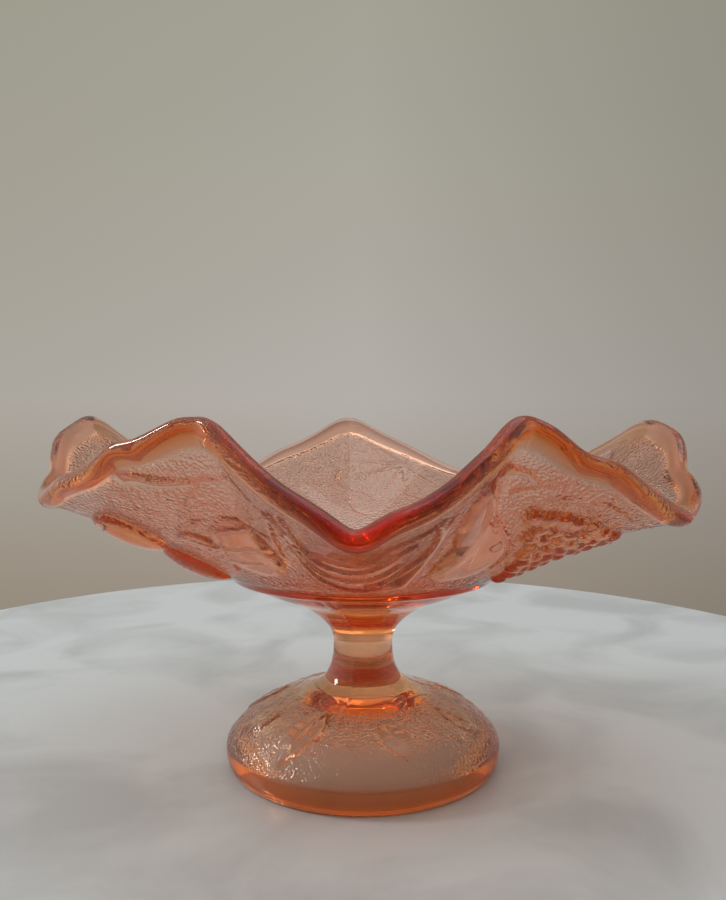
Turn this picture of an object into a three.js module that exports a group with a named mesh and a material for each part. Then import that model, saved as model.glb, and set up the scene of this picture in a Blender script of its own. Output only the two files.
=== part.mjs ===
// Footed candy dish in pink pressed glass: a shallow bowl with a hand-crimped rim, a plain solid
// stem and a domed, hollow foot. Millimetres, +Z up, the foot rests on z = 0 around the origin.
//
// The real dish is one pressing. It is drawn here as its three zones, bowl, stem and foot, which
// meet on flat faces with a small clearance, so that each zone stays a simple closed solid.

import * as THREE from "three";
import { mergeVertices } from "three/addons/utils/BufferGeometryUtils.js";

// ---------------------------------------------------------------- driving dimensions
const CLEARANCE = 0.3; // between the faces where two zones meet

// Foot
const FOOT_R = 51.6;
const BASE_RING = { inner: 43.6, outer: 49.4 }; // the flat ring that stands on the table
const FOOT_EDGE_Z = 5.4; // height of the foot's widest circle
const FOOT_TOP = { r: 18.2, z: 27.8 }; // where the foot meets the stem
const HOLLOW_TOP_Z = 20.2;

// Stem
const WAIST = { r: 11.2, z: 43.5 };
const STEM_TOP = { r: 17, z: 54.5 }; // where the stem meets the bowl

// Bowl, measured to the middle of its wall
const FLOOR_Z = 67.4;
const RIDGE = { r: 47, z: 72 }; // a raised ring where the floor turns into the wall
const WALL_T = 4.2;
const BEAD_R = 3.1; // the fire-polished rim is a bead, a little thicker than the wall
const RIM_R = 110; // mean radius of the rim's bead before the crimps
const PRESSED_RISE = 37; // height of the wall before the crimps
const PRESSED_CURL = 0.05; // share of that height that comes from the wall's curve
const CRIMP_REACH = 2.6; // how quickly a crimp dies out towards the floor
const CRIMP_KINK = 0.985; // the rim's wave is round near 0 and a zigzag near 1
const CREST_SHARPNESS = 1.2; // above 1 the crests are narrower than the dips

// The rim's turning points, by azimuth in degrees from +X, alternately a crest and a dip. The crimps
// are pushed in by hand, so their spacing and reach differ a little.
const CRIMPS = [
  { at: -117, r: 97, z: 125.6 },
  { at: -91, r: 111.3, z: 99.5 },
  { at: -61, r: 94, z: 125.3 },
  { at: -32, r: 114.5, z: 99 },
  { at: 7, r: 112.5, z: 124.8 },
  { at: 54, r: 111, z: 97 },
  { at: 94, r: 108.5, z: 124.2 },
  { at: 130, r: 110.5, z: 97.5 },
  { at: 169, r: 111, z: 126.3 },
  { at: 201, r: 111.3, z: 102.3 },
];

// Small unevenness that the crimping tool leaves in the rim: azimuth and half width in degrees, how
// far up and how far out.
const TOOL_MARKS = [
  { at: -147, wide: 4, lift: 0.9, out: 0 },
  { at: -133, wide: 3.5, lift: 1.9, out: 0 },
  { at: -117, wide: 2.8, lift: -1.6, out: 0 },
  { at: -108, wide: 12, lift: 1.2, out: 0 },
  { at: -97, wide: 4, lift: 0.8, out: 0 },
  { at: -91, wide: 3, lift: -1.4, out: 0 },
  { at: -86, wide: 3, lift: 0.7, out: 0 },
  { at: -73, wide: 4, lift: 0.8, out: 0 },
  { at: -65.5, wide: 5, lift: 2, out: 0 },
  { at: -61, wide: 2.8, lift: -1.4, out: 0 },
  { at: -53, wide: 3, lift: -1.3, out: 0 },
  { at: -46.5, wide: 3.5, lift: 1.4, out: 0 },
  { at: -35, wide: 4, lift: -0.6, out: 0 },
  { at: -23, wide: 5, lift: 0, out: 1.1 },
  { at: -13, wide: 3.5, lift: -0.6, out: -1.4 },
  { at: -3, wide: 5, lift: 1.4, out: 1.7 },
  { at: 7, wide: 3, lift: -1, out: 0 },
  { at: 32, wide: 6, lift: -0.8, out: 0 },
  { at: 68, wide: 8, lift: -1.4, out: 0 },
  { at: 94, wide: 5, lift: 1.4, out: 0 },
  { at: 94, wide: 2.5, lift: -0.9, out: 0 },
  { at: 112, wide: 4, lift: 1, out: 0 },
  { at: 149, wide: 5, lift: 0.7, out: 0 },
  { at: 169, wide: 3, lift: -1, out: 0 },
  { at: 180, wide: 5, lift: 1.4, out: 1.9 },
  { at: 190, wide: 3.5, lift: -0.6, out: -1.3 },
];

// Fruit raised on the outside of the wall: azimuth, distance from the axis, half sizes along the
// rim and up the wall, height, and how far the long side leans over, in degrees.
const FRUIT = [
  { at: -92, from: 78, wide: 15, long: 20, tall: 1.8, lean: 0 }, // peach
  { at: -62, from: 72, wide: 13, long: 14.5, tall: 2.2, lean: 0 }, // pear, body
  { at: -67, from: 89, wide: 8, long: 15, tall: 1.9, lean: -18 }, // pear, neck
  { at: -42, from: 84, wide: 14, long: 13, tall: 2.4, lean: 0 }, // grapes, upper bunch
  { at: -38, from: 67, wide: 9, long: 13, tall: 2.4, lean: 0 }, // grapes, lower bunch
  { at: 8, from: 78, wide: 15, long: 15, tall: 2.6, lean: 0 }, // peach
  { at: 39, from: 73, wide: 12.5, long: 14, tall: 3, lean: 0 }, // pear, body
  { at: 122, from: 75, wide: 13, long: 14, tall: 2.8, lean: 0 }, // pear, body
  { at: 154, from: 82, wide: 14, long: 13, tall: 2.4, lean: 0 }, // grapes
  { at: 180, from: 76, wide: 15, long: 15, tall: 2.6, lean: 0 }, // peach
  { at: -152, from: 86, wide: 12, long: 11.5, tall: 4, lean: 0 }, // plum
  { at: -151, from: 64.5, wide: 10, long: 11.5, tall: 4, lean: 0 }, // plum
  { at: -119, from: 75, wide: 12.5, long: 14, tall: 2, lean: 0 }, // fig
];

const SEGMENTS = 140; // round the bowl
const FOOT_SEGMENTS = 72;
const STEM_SEGMENTS = 48;

// ---------------------------------------------------------------- helpers
const RAD = Math.PI / 180;
const smooth = (t) => t * t * (3 - 2 * t);
const clamp01 = (t) => Math.min(1, Math.max(0, t));
const v2 = (r, z) => new THREE.Vector2(r, z);

const glass = (color) =>
  new THREE.MeshStandardMaterial({ color, roughness: 0.08, metalness: 0 });

/** A solid of revolution about Z from an outline of (radius, height) points. */
function turned(outline, segments) {
  const geometry = new THREE.LatheGeometry(outline, segments);
  geometry.rotateX(Math.PI / 2);
  return welded(geometry);
}

/** Joins a geometry's doubled corners, so that the surface closes. */
function welded(geometry) {
  geometry.deleteAttribute("uv");
  geometry.deleteAttribute("normal");
  const closed = mergeVertices(geometry, 1e-4);
  closed.computeVertexNormals();
  return closed;
}

/** Points of a smooth curve through the given (radius, height) points. */
function curve(points, count) {
  return new THREE.SplineCurve(points.map(([r, z]) => v2(r, z))).getPoints(count);
}

// ---------------------------------------------------------------- the crimped wall
/** Degrees from a centre azimuth, between -180 and 180. */
const turnBetween = (azimuth, centre) =>
  THREE.MathUtils.euclideanModulo(azimuth - centre + 180, 360) - 180;

/** The rim's even wave at an azimuth: its radius and height. */
function waveAt(azimuth) {
  for (let i = 0; i < CRIMPS.length; i++) {
    const here = CRIMPS[i];
    const next = CRIMPS[(i + 1) % CRIMPS.length];
    const span = THREE.MathUtils.euclideanModulo(next.at - here.at, 360);
    const past = THREE.MathUtils.euclideanModulo(azimuth - here.at, 360);
    if (past > span) continue;
    const [crest, dip] = here.z > next.z ? [here, next] : [next, here];
    const along = here === crest ? past / span : 1 - past / span;
    const wave = Math.asin(CRIMP_KINK * Math.cos(Math.PI * along)) / Math.asin(CRIMP_KINK);
    const lift = Math.pow((1 + wave) / 2, CREST_SHARPNESS);
    return { r: dip.r + (crest.r - dip.r) * lift, z: dip.z + (crest.z - dip.z) * lift };
  }
  throw new Error(`no crimp spans ${azimuth}`);
}

/** The rim's bead at an azimuth, with the tool's marks: its radius and height. */
function rimAt(azimuth) {
  const rim = waveAt(azimuth);
  for (const mark of TOOL_MARKS) {
    const share = Math.exp(-Math.pow(turnBetween(azimuth, mark.at) / mark.wide, 2));
    rim.r += mark.out * share;
    rim.z += mark.lift * share;
  }
  return rim;
}

/** The middle of the glass at a blank radius and azimuth, after sagging and crimping. */
function middle(rho, azimuth) {
  let r = rho;
  let z = FLOOR_Z;
  if (rho > RIDGE.r) {
    const rim = rimAt(azimuth);
    const u = (rho - RIDGE.r) / (RIM_R - RIDGE.r);
    r = RIDGE.r + (rim.r - RIDGE.r) * u;
    const pressed = PRESSED_RISE * ((1 - PRESSED_CURL) * u + PRESSED_CURL * u * u);
    z = RIDGE.z + pressed + (rim.z - RIDGE.z - PRESSED_RISE) * Math.pow(u, CRIMP_REACH);
  } else if (rho > STEM_TOP.r) {
    const t = (rho - STEM_TOP.r) / (RIDGE.r - STEM_TOP.r);
    z = FLOOR_Z + (RIDGE.z - FLOOR_Z) * t * t;
  }
  return new THREE.Vector3(r * Math.cos(azimuth * RAD), r * Math.sin(azimuth * RAD), z);
}

/** The upward normal of the middle surface. */
function normalAt(rho, azimuth) {
  const step = 0.2;
  const outward = middle(rho + step, azimuth).sub(middle(rho - step, azimuth));
  const round = middle(rho, azimuth + step).sub(middle(rho, azimuth - step));
  return outward.cross(round).normalize();
}

/** How far the fruit stands out of the wall's outside. */
function relief(rho, azimuth) {
  let height = 0;
  for (const fruit of FRUIT) {
    const across = turnBetween(azimuth, fruit.at) * RAD * rho;
    const up = rho - fruit.from;
    const lean = fruit.lean * RAD;
    const x = (across * Math.cos(lean) - up * Math.sin(lean)) / fruit.wide;
    const y = (across * Math.sin(lean) + up * Math.cos(lean)) / fruit.long;
    height = Math.max(height, fruit.tall * smooth(clamp01(1.25 * (1 - Math.hypot(x, y)))));
  }
  return height;
}

// ---------------------------------------------------------------- bowl
/** The flat blank that the bowl is formed from: distance from the axis, height over its middle. */
function blankOutline() {
  const half = WALL_T / 2;
  const beadStart = RIM_R - 5; // where the wall starts to swell into the bead
  const bottom = STEM_TOP.z + CLEARANCE / 2 - FLOOR_Z;
  const under = [
    [0, bottom],
    [STEM_TOP.r, bottom],
    [24.6, -8],
    [36.3, -5],
    [44.5, -3.1],
    [47.2, -3],
    [50, -half],
  ];
  const outline = under.map(([r, n]) => v2(r, n));
  const rings = 8;
  for (let i = 1; i <= rings; i++) outline.push(v2(50 + ((beadStart - 50) * i) / rings, -half));
  const arc = 5;
  for (let i = 0; i <= arc; i++) {
    const a = -Math.PI / 2 + (Math.PI * i) / arc;
    outline.push(v2(RIM_R + BEAD_R * Math.cos(a), BEAD_R * Math.sin(a)));
  }
  for (const r of [beadStart, 93, 82, 70, 58, RIDGE.r, 32, STEM_TOP.r]) outline.push(v2(r, half));
  outline.push(v2(0, half));
  return outline;
}

/** Sags and crimps the blank, and raises the fruit on its outside. */
function formBowl() {
  const geometry = turned(blankOutline(), SEGMENTS);
  const position = geometry.getAttribute("position");
  for (let i = 0; i < position.count; i++) {
    const [x, y, offset] = [position.getX(i), position.getY(i), position.getZ(i)];
    const rho = Math.hypot(x, y);
    const azimuth = Math.atan2(y, x) / RAD;
    const onWall = rho > RIDGE.r && offset < 0;
    const raised = onWall ? relief(rho, azimuth) * smooth(clamp01((RIM_R - 4 - rho) / 8)) : 0;
    const place = middle(rho, azimuth);
    if (rho > STEM_TOP.r + 1) place.addScaledVector(normalAt(rho, azimuth), offset - raised);
    else place.z += offset;
    position.setXYZ(i, place.x, place.y, place.z);
  }
  geometry.computeVertexNormals();
  return geometry;
}

// ---------------------------------------------------------------- stem and foot
/** The plain solid waist. */
function stem() {
  const low = FOOT_TOP.z + CLEARANCE / 2;
  const high = STEM_TOP.z - CLEARANCE / 2;
  const side = curve(
    [
      [FOOT_TOP.r, low],
      [13.8, 31.4],
      [12, 36.5],
      [WAIST.r, WAIST.z],
      [12.2, 49],
      [STEM_TOP.r, high],
    ],
    13,
  );
  return turned([v2(0, low), ...side, v2(0, high)], STEM_SEGMENTS);
}

/** The domed foot, hollow beneath, with its flat base ring. */
function foot() {
  const top = FOOT_TOP.z - CLEARANCE / 2;
  const hollow = curve(
    [
      [0, HOLLOW_TOP_Z],
      [12, 20],
      [22, 19.1],
      [29, 17.4],
      [35.5, 14.9],
      [39.8, 11.8],
      [42.3, 8],
      [43.2, 4],
      [BASE_RING.inner, 0],
    ],
    11,
  );
  const dome = curve(
    [
      [BASE_RING.outer, 0],
      [51.2, 2.6],
      [FOOT_R, FOOT_EDGE_Z],
      [51, 9.2],
      [45, 15.4],
      [38, 19.9],
      [30, 23.3],
      [23, 25.6],
      [FOOT_TOP.r, top],
    ],
    14,
  );
  return turned([...hollow, ...dome, v2(0, top)], FOOT_SEGMENTS);
}

// ---------------------------------------------------------------- assembly
/** One named piece of the dish. */
function named(name, geometry, material) {
  const mesh = new THREE.Mesh(geometry, material);
  mesh.name = name;
  return mesh;
}

const dish = new THREE.Group();
dish.add(named("bowl", formBowl(), glass(0xf0b49c)));
dish.add(named("stem", stem(), glass(0xe28f66)));
dish.add(named("foot", foot(), glass(0xeaa184)));

export default dish;
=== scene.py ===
"""Footed glass candy dish: the finished look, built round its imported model.

The dish is one pressing of pink glass. It is made here as one closed surface that runs from the
middle of the bowl's floor, up the inside of the wall, over the rim's bead, down the outside of the
wall, along the stem and the foot's dome, and under the foot to the top of its hollow.

The scene is in metres. The pressing's own sizes are in millimetres and degrees.
"""

import logging
import math
from abc import ABC, abstractmethod
from dataclasses import dataclass, field
from enum import Enum

import bpy
import numpy as np
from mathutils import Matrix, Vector


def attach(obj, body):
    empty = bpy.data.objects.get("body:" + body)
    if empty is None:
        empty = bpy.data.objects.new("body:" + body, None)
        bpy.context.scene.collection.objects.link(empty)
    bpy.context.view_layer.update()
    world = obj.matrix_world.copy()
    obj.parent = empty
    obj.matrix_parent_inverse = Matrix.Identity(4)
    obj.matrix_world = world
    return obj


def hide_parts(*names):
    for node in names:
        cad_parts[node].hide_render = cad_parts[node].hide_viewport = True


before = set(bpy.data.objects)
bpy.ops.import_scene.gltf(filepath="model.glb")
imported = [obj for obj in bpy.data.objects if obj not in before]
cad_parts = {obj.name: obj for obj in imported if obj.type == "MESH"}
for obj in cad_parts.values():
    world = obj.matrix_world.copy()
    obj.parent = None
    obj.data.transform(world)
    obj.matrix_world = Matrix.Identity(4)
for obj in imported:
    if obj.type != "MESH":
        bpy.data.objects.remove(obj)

Array = np.ndarray
Point = tuple[float, float]
Colour = tuple[float, float, float]

log = logging.getLogger("candy_dish")

MM = 0.001
DEG = math.pi / 180


# ---------------------------------------------------------------- small helpers
def smoothstep(t: Array) -> Array:
    """Eases t from 0 to 1, and holds it there outside that span."""
    t = np.clip(t, 0, 1)
    return t * t * (3 - 2 * t)


def turn_between(azimuth: Array, centre: float) -> Array:
    """Degrees from a centre azimuth, between -180 and 180."""
    return np.mod(azimuth - centre + 180, 360) - 180


def smooth_curve(points: Array, steps: int) -> Array:
    """Runs a smooth curve through some points.

    Args:
        points: The points to pass through, one row each.
        steps: How many pieces each span between two points is cut into.

    Returns:
        The curve's points, with both ends.
    """
    ends = [2 * points[0] - points[1], 2 * points[-1] - points[-2]]
    padded = np.vstack([ends[0], points, ends[1]])
    t = np.linspace(0, 1, steps, endpoint=False)[:, None]
    spans = []
    for a, b, c, d in zip(padded, padded[1:], padded[2:], padded[3:]):
        spans.append(
            0.5 * (2 * b + (c - a) * t + (2 * a - 5 * b + 4 * c - d) * t**2)
            + 0.5 * (3 * b - a - 3 * c + d) * t**3
        )
    return np.vstack([*spans, points[-1:]])


def even_points(curve: Array, count: int) -> Array:
    """Picks points at even distances along a curve.

    Args:
        curve: The curve's points, close together.
        count: How many points to pick.

    Returns:
        The picked points, with both ends.
    """
    run = np.concatenate([[0], np.cumsum(np.linalg.norm(np.diff(curve, axis=0), axis=1))])
    at = np.linspace(0, run[-1], count)
    return np.stack([np.interp(at, run, curve[:, k]) for k in range(curve.shape[1])], axis=1)


def add_object(name: str, data: bpy.types.ID) -> bpy.types.Object:
    """Adds an object to the scene.

    Args:
        name: The object's name.
        data: Its mesh, lamp or camera.

    Returns:
        The new object.
    """
    made = bpy.data.objects.new(name, data)
    bpy.context.scene.collection.objects.link(made)
    return made


def ring_faces(counts: list[int]) -> list[tuple[int, ...]]:
    """Joins the rings, and closes both ends on the axis.

    Args:
        counts: How many points each ring has. Neighbours are equal, or one has twice as many.

    Returns:
        The faces, as indices of points. Point 0 is the start and the last point is the end.
    """
    faces: list[tuple[int, ...]] = []
    first = 1
    for k in range(counts[0]):
        faces.append((0, first + k, first + (k + 1) % counts[0]))
    for a_count, b_count in zip(counts, counts[1:]):
        a, b = first, first + a_count
        if a_count == b_count:
            for k in range(a_count):
                n = (k + 1) % a_count
                faces.append((a + k, b + k, b + n, a + n))
        elif a_count > b_count:
            for k in range(b_count):
                n = (k + 1) % b_count
                left, mid, right = a + 2 * k, a + 2 * k + 1, a + (2 * k + 2) % a_count
                faces += [(left, b + k, mid), (mid, b + k, b + n), (mid, b + n, right)]
        else:
            for k in range(a_count):
                n = (k + 1) % a_count
                left, mid, right = b + 2 * k, b + 2 * k + 1, b + (2 * k + 2) % b_count
                faces += [(a + k, left, mid), (a + k, mid, a + n), (a + n, mid, right)]
        first = b
    end = first + counts[-1]
    for k in range(counts[-1]):
        faces.append((end, first + (k + 1) % counts[-1], first + k))
    return faces


# ---------------------------------------------------------------- the wall's form
@dataclass(frozen=True)
class Turn:
    """A turning point of the rim, a crest or a dip: its azimuth, reach and height."""

    at: float
    r: float
    z: float


@dataclass(frozen=True)
class ToolMark:
    """A small unevenness that the crimping tool leaves in the rim, up or down, in or out."""

    at: float
    wide: float
    lift: float
    out: float = 0.0


RIM_TURNS = tuple(
    Turn(*turn)
    for turn in (
        (-117, 97, 125.6), (-91, 111.3, 99.5), (-61, 94, 125.3), (-32, 114.5, 99),
        (7, 112.5, 124.8), (54, 111, 97), (94, 108.5, 124.2), (130, 110.5, 97.5), (169, 111, 126.3),
        (201, 111.3, 102.3),
    )
)  # fmt: skip

RIM_MARKS = tuple(
    ToolMark(*mark)
    for mark in (
        (-147, 4, 0.9), (-133, 3.5, 1.9), (-117, 2.8, -1.6), (-108, 12, 1.2), (-97, 4, 0.8),
        (-91, 3, -1.4), (-86, 3, 0.7), (-73, 4, 0.8), (-65.5, 5, 2.0), (-61, 2.8, -1.4),
        (-53, 3, -1.3), (-46.5, 3.5, 1.4), (-35, 4, -0.6), (-23, 5, 0.0, 1.1),
        (-13, 3.5, -0.6, -1.4), (-3, 5, 1.4, 1.7), (7, 3, -1.0), (32, 6, -0.8), (68, 8, -1.4),
        (94, 5, 1.4), (94, 2.5, -0.9), (112, 4, 1.0), (149, 5, 0.7), (169, 3, -1.0),
        (180, 5, 1.4, 1.9), (190, 3.5, -0.6, -1.3),
    )
)  # fmt: skip


@dataclass(frozen=True)
class CrimpedWall:
    """The bowl's wall: a shallow pressed dish whose rim is pushed into waves by hand."""

    floor_z: float = 67.4
    floor_r: float = 17.0
    ridge_r: float = 47.0
    ridge_z: float = 72.0
    half_wall: float = 2.1
    bead_r: float = 3.1
    bead_swell: float = 3.0
    rim_r: float = 110.0
    pressed_rise: float = 37.0
    pressed_curl: float = 0.05
    crimp_reach: float = 2.6
    crimp_kink: float = 0.985
    crest_sharpness: float = 1.2
    normal_step: float = 0.2  # millimetres and degrees between the points a normal is taken from
    turns: tuple[Turn, ...] = RIM_TURNS
    marks: tuple[ToolMark, ...] = RIM_MARKS

    def rim(self, azimuth: Array) -> tuple[Array, Array]:
        """Gives the rim's bead.

        Args:
            azimuth: Degrees from +X.

        Returns:
            The bead's distance from the axis and its height.
        """
        r = np.zeros_like(azimuth)
        z = np.zeros_like(azimuth)
        for here, ahead in zip(self.turns, self.turns[1:] + self.turns[:1]):
            span = (ahead.at - here.at) % 360
            past = np.mod(azimuth - here.at, 360)
            inside = past <= span
            crest, dip = (here, ahead) if here.z > ahead.z else (ahead, here)
            along = past / span if here is crest else 1 - past / span
            wave = np.arcsin(self.crimp_kink * np.cos(math.pi * np.clip(along, 0, 1)))
            lift = ((1 + wave / math.asin(self.crimp_kink)) / 2) ** self.crest_sharpness
            r = np.where(inside, dip.r + (crest.r - dip.r) * lift, r)
            z = np.where(inside, dip.z + (crest.z - dip.z) * lift, z)
        for mark in self.marks:
            share = np.exp(-((turn_between(azimuth, mark.at) / mark.wide) ** 2))
            r = r + mark.out * share
            z = z + mark.lift * share
        return r, z

    def middle(self, rho: Array, azimuth: Array) -> Array:
        """Gives the middle of the glass.

        Args:
            rho: Distance from the axis in the flat blank.
            azimuth: Degrees from +X.

        Returns:
            Points in space, in millimetres.
        """
        rim_r, rim_z = self.rim(azimuth)
        u = np.maximum(rho - self.ridge_r, 0) / (self.rim_r - self.ridge_r)
        r = np.where(rho > self.ridge_r, self.ridge_r + (rim_r - self.ridge_r) * u, rho)
        pressed = self.pressed_rise * ((1 - self.pressed_curl) * u + self.pressed_curl * u * u)
        crimp = (rim_z - self.ridge_z - self.pressed_rise) * u**self.crimp_reach
        t = np.clip((rho - self.floor_r) / (self.ridge_r - self.floor_r), 0, 1)
        floor = self.floor_z + (self.ridge_z - self.floor_z) * t * t
        z = floor + pressed + crimp
        return np.stack([r * np.cos(azimuth * DEG), r * np.sin(azimuth * DEG), z], axis=-1)

    def normal(self, rho: Array, azimuth: Array) -> Array:
        """Gives the middle surface's normal, which points up and into the bowl."""
        step = self.normal_step
        outward = self.middle(rho + step, azimuth) - self.middle(rho - step, azimuth)
        round_ = self.middle(rho, azimuth + step) - self.middle(rho, azimuth - step)
        up = np.cross(outward, round_)
        return up / np.linalg.norm(up, axis=-1, keepdims=True)

    def half_thickness(self, rho: Array) -> Array:
        """Half the glass's thickness, which swells towards the rim's bead."""
        swell = smoothstep((rho - self.rim_r + self.bead_swell + 1) / self.bead_swell)
        return self.half_wall + (self.bead_r - self.half_wall) * swell

    def place(self, rho: Array, offset: Array, azimuth: Array) -> Array:
        """Finds points beside the middle surface.

        Args:
            rho: Distance from the axis in the flat blank.
            offset: Distance from the middle surface, positive on the inside.
            azimuth: Degrees from +X.

        Returns:
            Points in space, in millimetres.
        """
        rho, offset, azimuth = np.broadcast_arrays(rho, offset, azimuth)
        blend = smoothstep((rho - self.floor_r) / 4)[..., None]
        straight = np.array([0.0, 0.0, 1.0])
        way = straight + (self.normal(np.maximum(rho, 1.0), azimuth) - straight) * blend
        return self.middle(rho, azimuth) + way * offset[..., None]


# ---------------------------------------------------------------- pressed relief
class Layer(Enum):
    """What a piece of relief does to the ground that it lies on."""

    BODY = "body"  # stands on the ground and is smooth
    LINE = "line"  # is added on top of a body or of the ground


class Relief(ABC):
    """A motif cut into the mould, so that it stands out of the glass.

    Places on the glass are (azimuth in degrees, distance from the axis in the flat blank).
    """

    layer: Layer = Layer.BODY

    @abstractmethod
    def height(self, azimuth: Array, rho: Array) -> Array:
        """Gives how far the motif stands out, in millimetres, at each place."""


@dataclass(frozen=True)
class Fruit(Relief):
    """A smooth rounded fruit."""

    at: float
    up: float
    wide: float
    long: float
    tall: float
    lean: float = 0.0
    fullness: float = 0.6

    def height(self, azimuth: Array, rho: Array) -> Array:
        """Gives the fruit's height.

        Args:
            azimuth: Degrees from +X.
            rho: Distance from the axis in the flat blank.

        Returns:
            Height in millimetres.
        """
        across = turn_between(azimuth, self.at) * DEG * rho
        up = rho - self.up
        c, s = math.cos(self.lean * DEG), math.sin(self.lean * DEG)
        x = (across * c - up * s) / self.wide
        y = (across * s + up * c) / self.long
        return self.tall * np.clip(1 - x * x - y * y, 0, 1) ** self.fullness


@dataclass(frozen=True)
class Line(Relief):
    """A raised line along a smooth curve: a vein, a stalk, a tendril or an outline."""

    points: tuple[Point, ...]
    wide: float
    tall: float
    tapered: bool = True
    taper: float = 0.65  # how much thinner a tapered line is at its end
    layer: Layer = Layer.LINE

    def height(self, azimuth: Array, rho: Array) -> Array:
        """Gives the line's height.

        Args:
            azimuth: Degrees from +X.
            rho: Distance from the axis in the flat blank.

        Returns:
            Height in millimetres.
        """
        given = np.array(self.points)
        centre = given[0, 0] + turn_between(given[:, 0], given[0, 0]).mean()
        path = np.stack(
            [turn_between(given[:, 0], centre) * DEG * given[:, 1], given[:, 1]], axis=1
        )
        path = smooth_curve(path, 6)
        across = turn_between(azimuth, centre) * DEG * rho
        low, high = path.min(axis=0) - self.wide, path.max(axis=0) + self.wide
        near = (across > low[0]) & (across < high[0]) & (rho > low[1]) & (rho < high[1])
        result = np.zeros_like(across)
        spot = np.stack([across[near], rho[near]], axis=1)
        best = np.zeros(len(spot))
        pieces = len(path) - 1
        for i, (a, b) in enumerate(zip(path, path[1:])):
            d = b - a
            t = np.clip(((spot - a) @ d) / max(float(d @ d), 1e-9), 0, 1)
            away = np.linalg.norm(spot - a - t[:, None] * d, axis=1)
            share = (i + t) / pieces
            thin = 1 - self.taper * share if self.tapered else 1.0
            ridge = np.clip(1 - (away / (0.5 * self.wide * thin)) ** 2, 0, 1) ** 1.5 * thin
            best = np.maximum(best, ridge)
        result[near] = best * self.tall
        return result


@dataclass(frozen=True)
class Leaf(Relief):
    """A pointed leaf with a midrib and slanting side veins."""

    root: Point
    tip: Point
    wide: float
    tall: float
    veins: int = 6
    edge: float = 1.3
    hollow: float = 0.65  # the middle's height, as a share of the edge's
    midrib: float = 0.9

    def height(self, azimuth: Array, rho: Array) -> Array:
        """Gives the leaf's height.

        Args:
            azimuth: Degrees from +X.
            rho: Distance from the axis in the flat blank.

        Returns:
            Height in millimetres.
        """
        across = turn_between(azimuth, self.root[0]) * DEG * rho
        up = rho - self.root[1]
        run = np.array(
            [turn_between(self.tip[0], self.root[0]) * DEG * self.tip[1], self.tip[1] - self.root[1]]
        )
        length = float(np.linalg.norm(run))
        ahead = run / length
        u = across * ahead[0] + up * ahead[1]
        v = across * -ahead[1] + up * ahead[0]
        t = np.clip(u / length, 0, 1)
        half = self.wide * np.sin(math.pi * t**0.8) + 1e-6
        inside = (u > 0) & (u < length)
        edge = smoothstep((half - np.abs(v)) / self.edge)
        crown = self.hollow + (1 - self.hollow) * np.clip(np.abs(v) / half, 0, 1)
        midrib = np.clip(1 - (v / self.midrib) ** 2, 0, 1) * 0.5
        phase = np.mod(t * self.veins - 0.55 * np.abs(v) / half, 1)
        side = np.clip(1 - ((phase - 0.5) / 0.2) ** 2, 0, 1) * 0.3
        return np.where(inside, self.tall * edge * (crown + np.maximum(midrib, side)), 0)


@dataclass(frozen=True)
class VineLeaf(Relief):
    """A broad lobed leaf: its veins spread from where the stalk joins."""

    at: float
    up: float
    reach: float
    tall: float
    turned: float = -90.0
    lobes: int = 5
    waist: float = 0.62  # how near the edge comes between the lobes, as a share of the reach
    notch: float = 0.35  # and where the stalk joins
    edge: float = 1.4
    vein: float = 0.9

    def height(self, azimuth: Array, rho: Array) -> Array:
        """Gives the leaf's height.

        Args:
            azimuth: Degrees from +X.
            rho: Distance from the axis in the flat blank.

        Returns:
            Height in millimetres.
        """
        across = turn_between(azimuth, self.at) * DEG * rho
        up = rho - self.up
        away = np.hypot(across, up)
        heading = turn_between(np.arctan2(up, across) / DEG, self.turned) * DEG
        lobe = np.abs(np.cos(heading * self.lobes / 2)) ** 0.7
        notch = smoothstep((math.pi - np.abs(heading)) / 0.5)
        teeth = 0.04 * np.abs(np.sin(heading * self.lobes * 2.5))
        near, deep = self.waist, self.notch
        edge_at = self.reach * (near + (1 - near) * lobe - teeth) * (deep + (1 - deep) * notch)
        body = smoothstep((edge_at - away) / self.edge)
        spacing = 2 * math.pi / self.lobes
        to_vein = np.mod(heading + spacing / 2, spacing) - spacing / 2
        aside = np.abs(to_vein) * away
        vein = np.clip(1 - (aside / self.vein) ** 2, 0, 1) * smoothstep((edge_at - away) / 3)
        return self.tall * body * (0.6 + 0.55 * vein)


@dataclass(frozen=True)
class Bunch(Relief):
    """A bunch of grapes: half balls that crowd together in staggered rows.

    Each row is its distance from the axis, and the azimuths where it starts and ends.
    """

    rows: tuple[tuple[float, float, float], ...]
    berry_r: float = 2.9
    pitch: float = 4.9
    tall: float = 2.4
    jitter: tuple[float, float] = (0.25, 0.35)  # degrees round the axis, millimetres outward
    seed: int = 3

    def berries(self) -> list[Point]:
        """Spaces the berries along their rows, a little unevenly.

        Returns:
            The middle of each berry.
        """
        chance = np.random.default_rng(self.seed)
        found = []
        for k, (up, start, end) in enumerate(self.rows):
            step = self.pitch / (DEG * up)
            for at in np.arange(start + 0.5 * step * (k % 2), end, step):
                found.append(
                    (at + chance.normal(0, self.jitter[0]), up + chance.normal(0, self.jitter[1]))
                )
        return found

    def height(self, azimuth: Array, rho: Array) -> Array:
        """Gives the bunch's height.

        Args:
            azimuth: Degrees from +X.
            rho: Distance from the axis in the flat blank.

        Returns:
            Height in millimetres.
        """
        best = np.zeros_like(rho)
        for at, up in self.berries():
            across = turn_between(azimuth, at) * DEG * rho
            d2 = (across**2 + (rho - up) ** 2) / self.berry_r**2
            best = np.maximum(best, np.sqrt(np.clip(1 - d2, 0, 1)))
        return best * self.tall


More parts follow.
